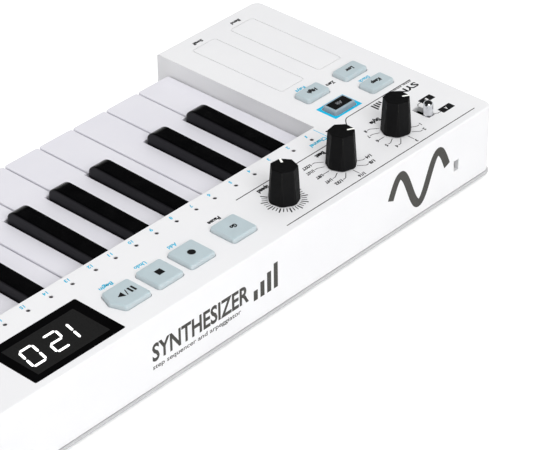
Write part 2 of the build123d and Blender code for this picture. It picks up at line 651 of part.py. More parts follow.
def usb_socket(body_z):
    """Square socket with a tongue."""
    width, height = USB_SIZE
    body = block((USB_JACK - width / 2 - 1, USB_JACK + width / 2 + 1), (JACK_BACK, JACK_FACE), body_z)
    mouth_x = (USB_JACK - width / 2 + 1.8, USB_JACK + width / 2 - 1.8)
    mouth_z = (JACK_Z - height / 2 + 1.5, JACK_Z + height / 2 - 1.5)
    body -= block(mouth_x, (JACK_FACE - 10, JACK_FACE + OVERRUN), mouth_z)
    tongue_z = (JACK_Z - 1.6, JACK_Z + 1.6)
    return single(body + block((USB_JACK - 2.8, USB_JACK + 2.8), (JACK_FACE - 11, JACK_FACE - 1), tongue_z))


def power_socket(body_z):
    """Coaxial socket with its centre pin."""
    body = block((DC_JACK - DC_HALF, DC_JACK + DC_HALF), (JACK_BACK, JACK_FACE), body_z)
    body -= rod_y(DC_JACK, (JACK_FACE - 10, JACK_FACE + OVERRUN), JACK_Z, DC_BORE)
    return single(body + rod_y(DC_JACK, (JACK_FACE - 11, JACK_FACE - 1), JACK_Z, 1.0))


def rear_jacks():
    """Connector bodies that face the openings in the back wall."""
    body_z = (JACK_Z - JACK_HALF_HEIGHT, BOARD_TOP - BOARD_THICKNESS)
    pieces = [mini_jack(x, body_z) for x in MINI_JACKS]
    pieces.append(pedal_jack(body_z))
    pieces += [din_socket(x, body_z) for x in DIN_JACKS]
    pieces.append(usb_socket(body_z))
    switch_x = (POWER_SWITCH - SWITCH_HALF, POWER_SWITCH + SWITCH_HALF)
    pieces.append(block(switch_x, (JACK_BACK, JACK_FACE), body_z))
    pieces.append(power_socket(body_z))
    save("rear_jacks", *pieces)


def build():
    """Write every node."""
    top_case()
    bottom_plate()
    feet_and_screws()
    for index in range(WHITE_COUNT):
        white_key(index)
    for name, x in black_key_centres():
        black_key(name, x)
    key_frame()
    circuit_board()
    display_window()
    for node, x in KNOBS.items():
        knob(node, x)
    for node, place, size, point in button_rows():
        button(node, place, size, point)
    sequence_lever()
    rear_jacks()


build()
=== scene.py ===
"""Looks of the slim keyboard synthesizer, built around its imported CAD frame.

Lengths are in millimetres, apart from what goes straight to Blender, which is in metres.
"""
import json
import math

import bmesh
import bpy
from mathutils import Matrix, Vector


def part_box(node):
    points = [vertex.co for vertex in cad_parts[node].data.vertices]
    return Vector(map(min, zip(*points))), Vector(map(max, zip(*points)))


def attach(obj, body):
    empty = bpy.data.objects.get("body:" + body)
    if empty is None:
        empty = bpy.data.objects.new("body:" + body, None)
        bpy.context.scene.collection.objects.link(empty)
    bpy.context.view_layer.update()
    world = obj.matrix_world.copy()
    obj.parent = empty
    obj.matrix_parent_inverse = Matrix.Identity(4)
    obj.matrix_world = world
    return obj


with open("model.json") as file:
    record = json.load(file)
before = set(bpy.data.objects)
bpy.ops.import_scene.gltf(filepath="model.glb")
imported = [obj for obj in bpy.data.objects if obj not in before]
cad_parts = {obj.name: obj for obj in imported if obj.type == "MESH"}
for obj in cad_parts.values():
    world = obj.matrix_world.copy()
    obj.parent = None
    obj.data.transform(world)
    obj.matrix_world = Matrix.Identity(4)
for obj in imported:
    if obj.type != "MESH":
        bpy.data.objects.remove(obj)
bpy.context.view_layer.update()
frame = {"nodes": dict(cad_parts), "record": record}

MM = 0.001
CASE = "case"


def low_corner(node):
    """Lowest corner of a CAD node, in millimetres."""
    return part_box(node)[0] / MM


def high_corner(node):
    """Highest corner of a CAD node, in millimetres."""
    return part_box(node)[1] / MM


def middle(node):
    """Centre of a CAD node, in millimetres."""
    return (low_corner(node) + high_corner(node)) / 2


PANEL = high_corner("top_case").z
BACK = high_corner("top_case").y
OCTAVE = low_corner("key_c2").x - low_corner("key_c1").x
KEYS_LEFT = low_corner("key_c1").x - 0.45
# The printing sits a little off the knob centres.
PRINT_SHIFT = Vector((0.2, -0.3, 0.0))
MODE = middle("mode_knob") + PRINT_SHIFT
DIVISION = middle("division_knob") + PRINT_SHIFT
RATE = middle("rate_knob") + PRINT_SHIFT
LIGHT_ROW = MODE.y - 22.9
INK_RISE = 0.03
INK_ROOT = 0.01


# ---------------------------------------------------------------- materials

def linear(red, green, blue):
    """Screen colour in 0..255 as a linear colour."""
    values = [channel / 255 for channel in (red, green, blue)]
    return [v / 12.92 if v <= 0.04045 else ((v + 0.055) / 1.055) ** 2.4 for v in values] + [1.0]


class Look:
    """A node material with one Principled surface that detail is wired into."""

    def __init__(self, name, roughness=0.5, **inputs):
        self.material = bpy.data.materials.new(name)
        self.material.use_nodes = True
        self.tree = self.material.node_tree
        self.surface = self.tree.nodes["Principled BSDF"]
        self.surface.inputs["Roughness"].default_value = roughness
        for key, value in inputs.items():
            self.surface.inputs[key.replace("_", " ")].default_value = value
        self.place = self.node("ShaderNodeTexCoord").outputs["Object"]

    def node(self, kind, **inputs):
        """Add a node and set its inputs by name."""
        made = self.tree.nodes.new(kind)
        for key, value in inputs.items():
            self.wire(value, made.inputs[key.replace("_", " ")])
        return made

    def wire(self, value, socket):
        """Link a socket, or set a plain value."""
        if isinstance(value, bpy.types.NodeSocket):
            self.tree.links.new(value, socket)
        else:
            socket.default_value = value

    def noise(self, size, detail=3.0, roughness=0.5):
        """Noise with features of about the given size in millimetres."""
        made = self.node("ShaderNodeTexNoise", Vector=self.place, Scale=1 / (size * MM), Detail=detail,
                         Roughness=roughness)
        return made.outputs["Fac"]

    def span(self, value, low, high, start=0.3, end=0.7):
        """Map a value that runs from start to end onto low to high."""
        made = self.node("ShaderNodeMapRange", Value=value)
        made.inputs["From Min"].default_value = start
        made.inputs["From Max"].default_value = end
        self.wire(low, made.inputs["To Min"])
        self.wire(high, made.inputs["To Max"])
        return made.outputs["Result"]

    def mix(self, factor, first, second):
        """Blend two colours."""
        made = self.tree.nodes.new("ShaderNodeMix")
        made.data_type = "RGBA"
        self.wire(factor, made.inputs[0])
        self.wire(first, made.inputs[6])
        self.wire(second, made.inputs[7])
        return made.outputs[2]

    def colour(self, value):
        """Set the surface colour."""
        self.wire(value, self.surface.inputs["Base Color"])
        return self

    def roughen(self, low, high, size):
        """Let the roughness wander between two values."""
        self.wire(self.span(self.noise(size), low, high), self.surface.inputs["Roughness"])
        return self

    def soft_normal(self, radius):
        """Normal rounded over an edge by a small radius."""
        made = self.tree.nodes.new("ShaderNodeBevel")
        made.samples = 6
        made.inputs["Radius"].default_value = radius * MM
        return made.outputs["Normal"]

    def edge_mask(self, radius):
        """One along edges, zero on open faces."""
        rounded = self.soft_normal(radius)
        true = self.node("ShaderNodeNewGeometry").outputs["Normal"]
        dot = self.tree.nodes.new("ShaderNodeVectorMath")
        dot.operation = "DOT_PRODUCT"
        self.wire(rounded, dot.inputs[0])
        self.wire(true, dot.inputs[1])
        return self.span(dot.outputs["Value"], 1.0, 0.0, 0.75, 0.995)

    def side_mask(self):
        """One on upright faces, zero on level ones."""
        normal = self.node("ShaderNodeNewGeometry").outputs["Normal"]
        parts = self.node("ShaderNodeSeparateXYZ", Vector=normal)
        return self.span(parts.outputs["Z"], 1.0, 0.0, 0.25, 0.85)

    def relief(self, layers, edge=None):
        """Bump from noise layers of (feature size, depth), with softened edges under it."""
        normal = self.soft_normal(edge) if edge else None
        for size, depth in layers:
            height = self.noise(size, 4.0, 0.6)
            bump = self.node("ShaderNodeBump", Height=height, Strength=1.0, Distance=depth * MM)
            if normal:
                self.wire(normal, bump.inputs["Normal"])
            normal = bump.outputs["Normal"]
        self.wire(normal, self.surface.inputs["Normal"])
        return self


def moulded(name, shade, tint, rough, grain, edge):
    """Moulded plastic: faint clouding, fine spark-eroded grain, edges softened in the shading."""
    look = Look(name)
    clouded = look.mix(look.span(look.noise(38.0), 0.0, 1.0), shade, tint)
    fine = look.mix(look.span(look.noise(0.35), 0.0, 0.35), clouded, tint)
    look.colour(fine)
    look.roughen(rough[0], rough[1], 6.0)
    look.relief([(grain[0], grain[1]), (14.0, 0.02)], edge)
    return look


def case_white():
    """Matt white shell."""
    shade, tint = linear(230, 230, 231), linear(227, 227, 229)
    look = moulded("case_white", shade, tint, (0.42, 0.55), (0.28, 0.004), 0.35)
    look.surface.inputs["Specular IOR Level"].default_value = 0.3
    return look.material


def key_white():
    """Satin white key with a fine surface grain and a faint lavender cast."""
    look = Look("key_white", Coat_Weight=0.15, Coat_Roughness=0.12)
    base = look.mix(look.span(look.noise(25.0), 0.0, 1.0), linear(226, 225, 231), linear(223, 222, 229))
    look.colour(base)
    look.roughen(0.28, 0.33, 9.0)
    look.relief([(0.6, 0.0015)], 0.3)
    return look.material


def key_black():
    """Gloss black key top with satin sides, whose paler lavender tone is a painted reflection of the white
    keys.
    """
    look = Look("key_black", Specular_IOR_Level=0.2)
    side = look.side_mask()
    top = look.mix(look.span(look.noise(12.0), 0.0, 1.0), linear(2, 2, 3), linear(5, 5, 6))
    # The side colour is a painted reflection: paler and lavender where the white keys would mirror in the
    # satin sides.
    look.colour(look.mix(side, top, linear(17, 16, 22)))
    haze = look.span(look.noise(7.0), 0.16, 0.26)
    look.wire(look.span(side, haze, 0.42, 0.0, 1.0), look.surface.inputs["Roughness"])
    look.relief([(0.5, 0.002)], 0.35)
    return look.material


def knob_black():
    """Soft-touch knob: fine grain, with a painted highlight along its rim edges."""
    look = Look("knob_black", Specular_IOR_Level=0.1)
    base = look.mix(look.span(look.noise(5.0), 0.0, 1.0), linear(12, 12, 13), linear(16, 16, 17))
    # Paler colour along the edges is a painted highlight on the rim.
    painted_rim_highlight = look.mix(look.edge_mask(0.35), base, linear(82, 81, 77))
    # The level top keeps the darkest tone, a slight painted shade against the flanks, and carries no painted
    # highlight.
    top = look.mix(look.side_mask(), linear(12, 12, 13), painted_rim_highlight)
    look.colour(top)
    look.roughen(0.5, 0.68, 2.5)
    look.relief([(0.22, 0.012), (1.6, 0.006)], 0.3)
    return look.material


def silicone(name, top, side, edge):
    """Translucent button rubber. Its paler edges are painted light leaking through the rubber; its sides
    carry a painted tone, painted light where paler than the top and painted shade where darker.
    """
    look = Look(name, Subsurface_Weight=0.35, Subsurface_Scale=0.0015)
    look.surface.inputs["Subsurface Radius"].default_value = (0.8, 1.0, 1.0)
    body = look.mix(look.span(look.noise(7.0), 0.0, 1.0), top, [c * 1.04 for c in top[:3]] + [1.0])
    # Upright faces take the painted side tone in place of the top colour.
    body_and_painted_sides = look.mix(look.side_mask(), body, side)
    # Edges take the paler edge colour, painted light leaking through the rubber.
    look.colour(look.mix(look.edge_mask(0.7), body_and_painted_sides, edge))
    look.roughen(0.42, 0.56, 3.0)
    look.relief([(0.3, 0.008), (4.0, 0.02)], 0.35)
    return look.material


def chrome():
    """Polished lever with faint handling haze."""
    look = Look("lever_chrome", Metallic=1.0)
    look.colour(look.mix(look.span(look.noise(2.0), 0.0, 1.0), linear(226, 227, 230), linear(206, 208, 212)))
    look.roughen(0.05, 0.14, 1.5)
    look.relief([(1.2, 0.002)], 0.2)
    return look.material


def smoked_window():
    """Smoked acrylic with a hint of unevenness."""
    look = Look("window_black", Specular_IOR_Level=0.2)
    look.colour(look.mix(look.span(look.noise(20.0), 0.0, 1.0), linear(4, 4, 4), linear(7, 7, 8)))
    look.roughen(0.1, 0.18, 15.0)
    look.relief([(18.0, 0.01)], 0.15)
    return look.material


def coated_steel():
    """Pale powder-coated base plate, with a painted highlight along its edges."""
    look = Look("plate_steel", Specular_IOR_Level=0.4)
    base = look.mix(look.span(look.noise(30.0), 0.0, 1.0), linear(190, 190, 191), linear(184, 184, 186))
    # The paler colour along the edges is a painted highlight.
    look.colour(look.mix(look.edge_mask(0.4), base, linear(204, 204, 205)))
    look.roughen(0.4, 0.6, 2.0)
    look.relief([(0.8, 0.006), (0.25, 0.004)], 0.3)
    return look.material


def plain_moulding(name, dark, pale, rough):
    """Inner mouldings, feet and connector bodies, with a painted highlight along their edges."""
    look = Look(name)
    base = look.mix(look.span(look.noise(9.0), 0.0, 1.0), dark, pale)
    # Edges are painted far paler than the body: a painted highlight.
    look.colour(look.mix(look.edge_mask(0.3), base, [min(1.0, c * 1.8 + 0.01) for c in pale[:3]] + [1.0]))
    look.roughen(rough - 0.08, rough + 0.08, 3.0)
    look.relief([(0.4, 0.015)], 0.25)
    return look.material


def printed(name, shade, strength=0.0):
    """Screen-printed ink with slightly uneven cover; a strength lights it."""
    look = Look(name, Specular_IOR_Level=0.15)
    thin = [min(1.0, c * 1.2 + 0.002) for c in shade[:3]] + [1.0]
    cover = look.mix(look.span(look.noise(0.6), 0.0, 1.0), shade, thin)
    look.colour(cover)
    look.roughen(0.45, 0.62, 1.0)
    look.relief([(0.2, 0.004)])
    if strength:
        look.wire(cover, look.surface.inputs["Emission Color"])
        look.surface.inputs["Emission Strength"].default_value = strength
    return look.material


def lens_plastic():
    """Dark light pipe, unlit."""
    look = Look("lens_smoke", Coat_Weight=0.4, Coat_Roughness=0.1)
    look.colour(look.mix(look.span(look.noise(0.8), 0.0, 1.0), linear(44, 39, 43), linear(62, 56, 60)))
    look.roughen(0.2, 0.4, 0.5)
    look.relief([(0.4, 0.01)])
    return look.material


def slot_materials():
    """One material for each slot of the record."""
    # Top colour, then a painted paler side tone and a painted paler edge of the button rubber.
    rubber = silicone("button_rubber", linear(178, 192, 197), linear(190, 201, 205), linear(200, 210, 213))
    return {
        "case_white": case_white(),
        "plate_steel": coated_steel(),
        "key_white": key_white(),
        "key_black": key_black(),
        "knob_black": knob_black(),
        "button_rubber": rubber,
        "lever_chrome": chrome(),
        "window_black": smoked_window(),
        "frame_grey": plain_moulding("frame_grey", linear(88, 88, 92), linear(104, 104, 108), 0.5),
        "board_green": plain_moulding("board_green", linear(22, 70, 48), linear(30, 84, 56), 0.35),
        "jack_black": plain_moulding("jack_black", linear(24, 24, 25), linear(34, 34, 35), 0.42),
        "foot_rubber": plain_moulding("foot_rubber", linear(40, 40, 41), linear(54, 54, 55), 0.75),
    }


def dress_nodes(materials):
    """Give every CAD node the material of its slot."""
    for row in frame["record"]["subparts"]:
        slots = frame["nodes"][row["node"]].data.materials
        slots.clear()
        slots.append(materials[row["material_slot"]])
    shift = frame["nodes"]["shift_button"].data.materials
    # Top colour, then a painted darker side shade and a painted paler edge of the shift rubber.
    shift[0] = silicone("shift_rubber", linear(150, 168, 178), linear(138, 154, 164), linear(176, 190, 198))


# ---------------------------------------------------------------- shapes

def upright(x=0.0, y=0.0, z=0.0, turn=0.0):
    """Placement of drawings that lie level, as the player reads them."""
    return Matrix.Translation((x, y, z)) @ Matrix.Rotation(math.radians(turn), 4, "Z")


def on_back(x=0.0, y=0.0, z=0.0):
    """Placement of drawings on the back wall, read from behind."""
    turned = Matrix(((-1, 0, 0, x), (0, 0, 1, y), (0, 1, 0, z), (0, 0, 0, 1)))
    return turned


def rounded(left, right, front, back, radius, steps=5):
    """Anticlockwise outline of a rectangle with round corners."""
    corners = [(right - radius, back - radius, 0), (left + radius, back - radius, 90),
               (left + radius, front + radius, 180), (right - radius, front + radius, 270)]
    points = []
    for x, y, start in corners:
        for step in range(steps + 1):
            angle = math.radians(start + 90 * step / steps)
            points.append((x + radius * math.cos(angle), y + radius * math.sin(angle)))
    return points


def circle(x, y, radius, steps=28):
    """Anticlockwise round outline."""
    turns = [2 * math.pi * step / steps for step in range(steps)]
    return [(x + radius * math.cos(turn), y + radius * math.sin(turn)) for turn in turns]


def glyph_mesh(text, slant, weight):
    """Flat mesh of a piece of plain lettering."""
    curve = bpy.data.curves.new("lettering", "FONT")
    curve.body = text
    curve.shear = slant
    curve.offset = weight
    curve.resolution_u = 3
    carrier = bpy.data.objects.new("lettering", curve)
    mesh = bpy.data.meshes.new_from_object(carrier)
    bpy.data.objects.remove(carrier)
    bpy.data.curves.remove(curve)
    return mesh


def letter_height():
    """Height of a capital at font size one."""
    mesh = glyph_mesh("H", 0.0, 0.0)
    heights = [vertex.co.y for vertex in mesh.vertices]
    bpy.data.meshes.remove(mesh)
    return max(heights) - min(heights)


CAPITAL = letter_height()


class Relief:
    """Thin raised shapes on one plane, kept together as one mesh."""

    def __init__(self, low=-INK_ROOT, high=INK_RISE):
        self.form = bmesh.new()
        self.low = low
        self.high = high

    def ring(self, points, height):
        """Vertices of one outline."""
        return [self.form.verts.new((x, y, height)) for x, y in points]

    def polygon(self, points):
        """A filled anticlockwise outline with upright sides."""
        bottom = self.ring(points, self.low)
        top = self.ring(points, self.high)
        self.form.faces.new(top)
        self.form.faces.new(bottom[::-1])
        for here in range(len(points)):
            there = (here + 1) % len(points)
            self.form.faces.new((bottom[here], bottom[there], top[there], top[here]))

    def band(self, outer, inner, closed=True):
        """A strip between two matching outlines."""
        rings = [self.ring(points, height) for points in (outer, inner) for height in (self.low, self.high)]
        outer_low, outer_high, inner_low, inner_high = rings
        count = len(outer)
        for here in range(count if closed else count - 1):
            there = (here + 1) % count
            self.form.faces.new((outer_high[here], outer_high[there], inner_high[there], inner_high[here]))
            self.form.faces.new((inner_low[here], inner_low[there], outer_low[there], outer_low[here]))
            self.form.faces.new((outer_low[here], outer_low[there], outer_high[there], outer_high[here]))
            self.form.faces.new((inner_low[there], inner_low[here], inner_high[here], inner_high[there]))
        if not closed:
            self.form.faces.new((inner_low[0], outer_low[0], outer_high[0], inner_high[0]))
            self.form.faces.new((outer_low[-1], inner_low[-1], inner_high[-1], outer_high[-1]))

    def line(self, points, width):
        """A stroke along a path, with mitred corners."""
        places = [Vector(point) for point in points]
        steps = [(after - before).normalized() for before, after in zip(places, places[1:])]
        left, right = [], []
        for index, place in enumerate(places):
            before = steps[max(index - 1, 0)]
            after = steps[min(index, len(steps) - 1)]
            along = (before + after).normalized()
            across = Vector((-along.y, along.x)) * (width / 2 / max(0.4, along.dot(after)))
            left.append(tuple(place + across))
            right.append(tuple(place - across))
        self.band(right, left, closed=False)

    def disc(self, x, y, radius):
        """A filled circle."""
        self.polygon(circle(x, y, radius))

    def word(self, text, left, right, y, height, slant=0.18, weight=0.014):
        """Lettering fitted between two x values and centred on y; height is that of a capital."""
        mesh = glyph_mesh(text, slant, weight)
        xs = [vertex.co.x for vertex in mesh.vertices]
        stretch = (right - left) / (max(xs) - min(xs))
        rise = height / CAPITAL
        start = min(xs)
        for vertex in mesh.vertices:
            across = (vertex.co.x - start) * stretch + left
            vertex.co = (across, vertex.co.y * rise + y - height / 2, self.low)
        known = set(self.form.faces)
        self.form.from_mesh(mesh)
        bpy.data.meshes.remove(mesh)
        flat = [face for face in self.form.faces if face not in known]
        bmesh.ops.remove_doubles(self.form, verts=list({v for face in flat for v in face.verts}), dist=0.0005)
        flat = [face for face in self.form.faces if face not in known]
        for face in flat:
            face.normal_update()
        downward = [face for face in flat if face.normal.z > 0]
        lifted = bmesh.ops.extrude_face_region(self.form, geom=flat)["geom"]
        for vertex in (item for item in lifted if isinstance(item, bmesh.types.BMVert)):
            vertex.co.z = self.high
        bmesh.ops.reverse_faces(self.form, faces=[face for face in downward if face.is_valid])

    def finish(self, name, body, material, slot, place):
        """Place the drawing, scale it to metres and let it ride on a body."""
        mesh = bpy.data.meshes.new(name)
        bmesh.ops.recalc_face_normals(self.form, faces=self.form.faces)
        self.form.to_mesh(mesh)
        self.form.free()
        mesh.transform(Matrix.Scale(MM, 4) @ place)
        mesh.materials.append(material)
        piece = bpy.data.objects.new(name, mesh)
        bpy.context.scene.collection.objects.link(piece)
        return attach(piece, body)


def lathe(form, profile, place, steps=32):
    """Turn a closed (radius, height) profile about the local Z axis into a mesh under construction."""
    rings = []
    for step in range(steps):
        angle = 2 * math.pi * step / steps
        spoke = [(radius * math.cos(angle), radius * math.sin(angle), height) for radius, height in profile]
        rings.append([form.verts.new(place @ Vector(point)) for point in spoke])
    count = len(profile)
    for step in range(steps):
        here, there = rings[step], rings[(step + 1) % steps]
        for index in range(count):
            after = (index + 1) % count
            form.faces.new((here[index], there[index], there[after], here[after]))


def solid_piece(form, name, body, material, smooth=True):
    """Finish a mesh built in millimetres as a piece."""
    bmesh.ops.remove_doubles(form, verts=form.verts, dist=0.0005)
    bmesh.ops.dissolve_degenerate(form, edges=form.edges, dist=0.0005)
    bmesh.ops.recalc_face_normals(form, faces=form.faces)
    mesh = bpy.data.meshes.new(name)
    form.to_mesh(mesh)
    form.free()
    mesh.transform(Matrix.Scale(MM, 4))
    mesh.materials.append(material)
    piece = bpy.data.objects.new(name, mesh)
    bpy.context.scene.collection.objects.link(piece)
    if smooth:
        mesh.shade_smooth()
        mesh.set_sharp_from_angle(angle=math.radians(35))
    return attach(piece, body)


# ---------------------------------------------------------------- panel printing

LEGEND = 1.75
TITLE = 2.3
FINE = 0.34
RULE = 0.46
BOLD = 0.045
TITLE_WEIGHT = 0.055
# Offsets from a selector's centre: text start and end, text height, then the bend of its leader.
SELECTOR_TEXT = [(-16.8, -11.3, 5.3), (-16.6, -9.0, 9.3), (-2.8, 3.2, 12.8), (9.2, 16.2, 9.3),
                 (11.7, 20.0, 5.4), (11.7, 19.4, 0.0), (11.7, 20.7, -5.3), (9.2, 16.2, -9.2)]
MODE_NAMES = [str(step) for step in range(1, 9)]
MODE_WIDTHS = [0.7] + [1.3] * 7
DIVISION_NAMES = ["1/4", "1/8", "1/16", "1/32", "1/4T", "1/8T", "1/16T", "1/32T"]
DIVISION_WIDTHS = [3.6, 3.6, 4.2, 4.7, 4.6, 4.6, 5.0, 5.8]
STEP_ANGLES = [150 - 30 * step for step in range(8)]


def leader(ink, centre, angle, text_edge, height):
    """Thin line from a selector's rim out to its label, bending level at the label."""
    turn = math.radians(angle)
    start = Vector((math.cos(turn), math.sin(turn))) * 7.5
    if abs(text_edge) < 4:
        points = [(0.1, 7.6), (0.1, height - 1.5)]
    elif abs(height) < 0.5:
        points = [tuple(start), (text_edge, height)]
    else:
        side = math.copysign(1.0, text_edge)
        bend = text_edge - side * 2.1
        points = [tuple(start), (bend, height), (text_edge - side * 0.5, height)]
    ink.line([(centre.x + x, centre.y + y) for x, y in points], FINE)


def selector_legend(ink, centre, names, widths):
    """Labels and leaders of an eight-way selector, with each label's width."""
    for name, width, angle, (left, right, height) in zip(names, widths, STEP_ANGLES, SELECTOR_TEXT):
        behind = abs(left) < 4
        start = (left + right - width) / 2 if behind else (left if left > 0 else right - width)
        ink.word(name, centre.x + start, centre.x + start + width, centre.y + height, LEGEND, 0.18, BOLD)
        leader(ink, centre, angle, 0.0 if behind else (left if left > 0 else right), height)


def dial_ticks(ink, centre):
    """Fine scale round a knob that turns through 300 degrees."""
    for angle in range(-60, 241, 10):
        major = (angle + 60) % 30 == 0
        turn = Vector((math.cos(math.radians(angle)), math.sin(math.radians(angle))))
        outer = 10.8 if major else 10.0
        ends = [centre.xy + turn * 7.5, centre.xy + turn * outer]
        ink.line([tuple(end) for end in ends], 0.62 if major else 0.42)


def s_curve(start, end, steps=14):
    """Smooth step between two levels, as points."""
    points = []
    for step in range(steps + 1):
        t = step / steps
        swing = (1 - math.cos(math.pi * t)) / 2
        points.append((start[0] + (end[0] - start[0]) * t, start[1] + (end[1] - start[1]) * swing))
    return points


def control_borders(ink):
    """Long printed lines that enclose the mode, division and rate controls."""
    left = MODE.x - 38.8
    right = RATE.x + 14.4
    ink.line([(left, MODE.y + 15.0), (right, MODE.y + 15.0)], RULE)
    curve = s_curve((MODE.x + 5.7, MODE.y - 23.5), (MODE.x + 17.0, MODE.y - 14.8))
    ink.line([(left, MODE.y - 23.5)] + curve + [(right, MODE.y - 14.8)], RULE)


def lever_labels(ink, pale):
    """Black tabs with pale letters beside the slide lever, and their leaders."""
    lever = middle("sequence_lever")
    right = MODE.x - 26.3
    for name, y, side in (("A", MODE.y + 5.2, 1.0), ("B", MODE.y - 6.45, -1.0)):
        ink.polygon(rounded(right - 8.2, right, y - 1.95, y + 1.95, 0.25))
        pale.word(name, right - 4.8, right - 3.4, y, 1.7, 0.18, 0.02)
        bend = (min(right + 2.1, lever.x - 2.7), y + side * 0.1)
        ink.line([(right, bend[1]), bend, (bend[0] + 1.2, y - side * 0.9)], FINE)


def product_marks(ink):
    """Plain generic lettering with a small picture of rising bars."""
    left = MODE.x - 38.4
    base = MODE.y - 19.6
    ink.word("SYNTH", left, left + 21.5, base + 0.6, 3.4, 0.0, 0.035)
    ink.word("step sequencer", left, left + 21.0, base - 2.9, 1.1, 0.0)
    steps_pictogram(ink, left + 23.6, base - 2.2, 6.8, 4.6)


def steps_pictogram(ink, left, base, width, height):
    """Four bars that climb like the steps of a sequence."""
    pitch = width / 4
    for step in range(4):
        start = left + (step + 0.2) * pitch
        ink.polygon(rounded(start, start + pitch * 0.6, base, base + height * (0.4 + 0.2 * step), 0.05))


def function_labels(ink, blue):
    """Names printed on the panel beside the buttons, strips and parameter knobs."""
    row = MODE.y - 11.2
    tap, record = middle("tap_button"), middle("record_button")
    stop, play = middle("stop_button"), middle("play_button")
    hold, up = middle("hold_button"), middle("octave_up_button")
    ink.word("Pause", tap.x - 3.6, tap.x + 3.6, row, 2.2, 0.18, BOLD)
    ink.word("Zero", up.x - 15.9, up.x - 10.3, up.y - 0.2, 2.1, 0.18, BOLD)
    labels = [("Add", record.x - 2.7, 5.4, row), ("Undo", stop.x - 3.3, 6.6, row),
              ("Begin", play.x - 3.8, 7.6, row), ("Stack", hold.x - 3.8, 7.6, hold.y - 7.4),
              ("Keys", up.x - 3.2, 6.4, up.y - 7.2)]
    for name, left, width, y in labels:
        blue.word(name, left, left + width, y, 2.1, 0.18, 0.03)
    for name, x in (("Bend", -255.0), ("Swell", -228.5)):
        ink.word(name, x - 3.2, x + 3.2, -67.4, 2.0, 0.18, BOLD)
    for number in (1, 2, 3, 4):
        knob = middle(f"parameter_knob_{number}")
        ink.word(str(number), knob.x - 0.8, knob.x + 0.8, knob.y - 14.2, TITLE, 0.12, TITLE_WEIGHT)


def light_places():
    """X of each light, one above every key."""
    offsets = [8.5, 20.8, 33.7, 46.6, 58.7, 72.3, 83.9, 96.2, 108.5, 120.8, 133.1, 144.8]
    places = [KEYS_LEFT + octave * OCTAVE + x for octave in range(3) for x in offsets]
    return places + [KEYS_LEFT + 3 * OCTAVE + offsets[0]]


def step_numbers(blue, ink):
    """Blue step numbers in front of the lights, and the bracket that names them."""
    for number, x in enumerate(light_places()[:16], start=1):
        width = 0.75 if number < 10 else 1.3
        blue.word(str(number), x - width, x + width, LIGHT_ROW - 3.5, 1.9, 0.18, 0.03)
    blue.line([(KEYS_LEFT + 1.8, LIGHT_ROW - 5.0), (KEYS_LEFT + 1.8, LIGHT_ROW + 4.2)], 0.34)
    blue.word("Channel", KEYS_LEFT + 2.9, KEYS_LEFT + 13.5, LIGHT_ROW + 3.6, 2.2, 0.18, 0.035)
    ink.disc(KEYS_LEFT - 1.2, LIGHT_ROW + 0.4, 0.6)


def shift_surround(cyan):
    """Bright frame printed round the shift button."""
    shift = middle("shift_button")
    outer = rounded(shift.x - 9.25, shift.x + 9.25, shift.y - 6.1, shift.y + 6.1, 0.15)
    inner = rounded(shift.x - 7.65, shift.x + 7.65, shift.y - 4.85, shift.y + 4.85, 1.7)
    cyan.band(outer, inner)


def print_panel(inks):
    """All printing on the control panel."""
    black, blue, cyan = Relief(), Relief(), Relief()
    pale = Relief(INK_RISE - INK_ROOT, 2 * INK_RISE)
    selector_legend(black, MODE, MODE_NAMES, MODE_WIDTHS)
    selector_legend(black, DIVISION, DIVISION_NAMES, DIVISION_WIDTHS)
    for name, knob, half in (("Style", MODE, 3.2), ("Beat", DIVISION, 2.9), ("Speed", RATE, 3.6)):
        black.word(name, knob.x - half, knob.x + half, knob.y - 11.8, TITLE, 0.12, TITLE_WEIGHT)
    for name in ["rate_knob"] + [f"parameter_knob_{number}" for number in (1, 2, 3, 4)]:
        centre = middle(name)
        dial_ticks(black, centre)
    control_borders(black)
    lever_labels(black, pale)
    product_marks(black)
    function_labels(black, blue)
    step_numbers(blue, black)
    shift_surround(cyan)
    level = upright(z=PANEL)
    black.finish("panel_print_black", CASE, inks["black"], "case_white", level)
    blue.finish("panel_print_blue", CASE, inks["blue"], "case_white", level)
    cyan.finish("shift_surround", CASE, inks["cyan"], "case_white", level)
    pale.finish("panel_print_white", CASE, inks["white"], "case_white", level)


# ---------------------------------------------------------------- buttons, knobs, lights, display

def button_print(name, node, ink, draw):
    """A print on a button's top that rides on that button."""
    relief = Relief()
    draw(relief)
    centre = middle(node)
    return relief.finish(name, node, ink, "button_rubber", upright(centre.x, centre.y, high_corner(node).z))


def play_icon(relief):
    """Pause bars and a triangle."""
    for left in (-5.2, -3.3):
        relief.polygon(rounded(left, left + 1.1, -1.8, 1.8, 0.1))
    relief.line([(-1.2, -1.8), (0.2, 1.8)], 0.45)
    relief.polygon([(1.2, -1.8), (4.4, 0.0), (1.2, 1.8)])


